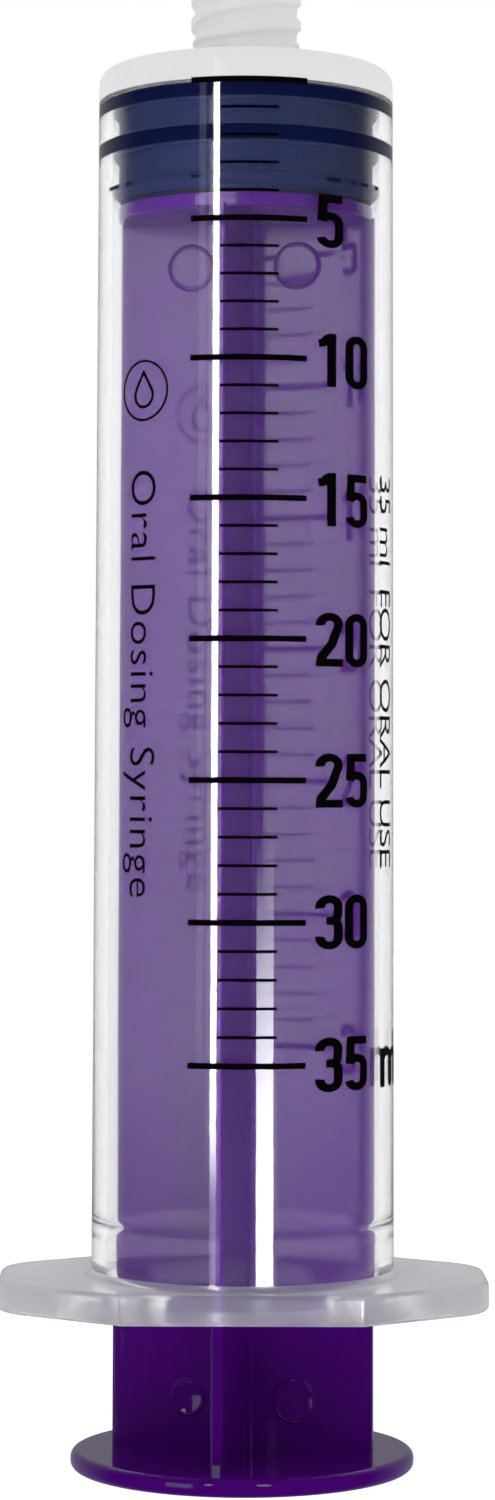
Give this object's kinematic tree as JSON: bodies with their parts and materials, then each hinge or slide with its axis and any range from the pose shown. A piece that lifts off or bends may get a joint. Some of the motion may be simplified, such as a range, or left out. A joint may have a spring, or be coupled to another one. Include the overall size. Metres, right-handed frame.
{
  "type": "oral syringe",
  "caption": "Clear graduated syringe barrel with an oval-ended finger flange and a threaded female tip, a dark rubber stopper and a purple ribbed plunger with a round thumb disc.",
  "frame": {"origin": "centre of the thumb disc's flat underside, on which the syringe stands", "axes": "+Z along the barrel from the thumb disc to the tip, +X along the finger flange, -Y towards the printed scale"},
  "size_m": [0.0416, 0.0292, 0.13],
  "materials": {
    "clear_plastic": "clear, slightly milky moulded polypropylene",
    "scale_ink": "black printed scale",
    "stopper_rubber": "dark blue-black silicone-coated rubber",
    "purple_plastic": "glossy purple moulded polypropylene"
  },
  "bodies": {
    "barrel": {"barrel": "clear_plastic"},
    "stopper": {"stopper": "stopper_rubber"},
    "plunger": {"plunger_rod": "purple_plastic"}
  },
  "joints": [
    {"name": "plunger_slide", "type": "slide", "parent": "barrel", "child": "stopper", "axis": [0, 0, -1], "range_m": [0, 0.0865]},
    {"name": "plunger_turn", "type": "hinge", "parent": "stopper", "child": "plunger", "pos_m": [0, 0, 0.1085], "axis": [0, 0, 1], "continuous": true}
  ]
}
